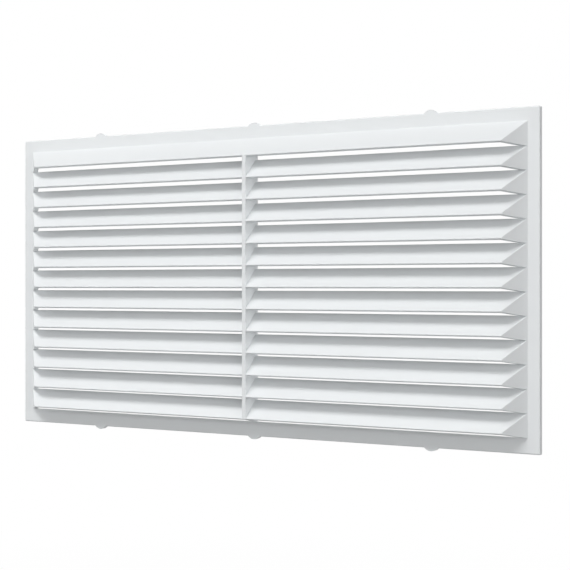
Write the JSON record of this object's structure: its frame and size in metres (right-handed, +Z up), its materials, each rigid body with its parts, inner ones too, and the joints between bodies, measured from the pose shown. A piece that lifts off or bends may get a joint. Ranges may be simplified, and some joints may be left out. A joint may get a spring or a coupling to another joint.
{
  "type": "ventilation grille",
  "caption": "Rectangular moulded plastic ventilation grille: flat flange with half-round edge lugs, and hooded sloping louvres on each side of an upright, that let air through a wall or door.",
  "frame": {"origin": "centre of the flat back, which lies against the wall or door", "axes": "+Z up, +X along the width, +Y into the wall, so the louvres face -Y"},
  "size_m": [0.48, 0.0174, 0.25],
  "materials": {
    "white_plastic": "satin moulded white, very slightly cool"
  },
  "bodies": {
    "root": {"grille": "white_plastic"}
  },
  "joints": []
}
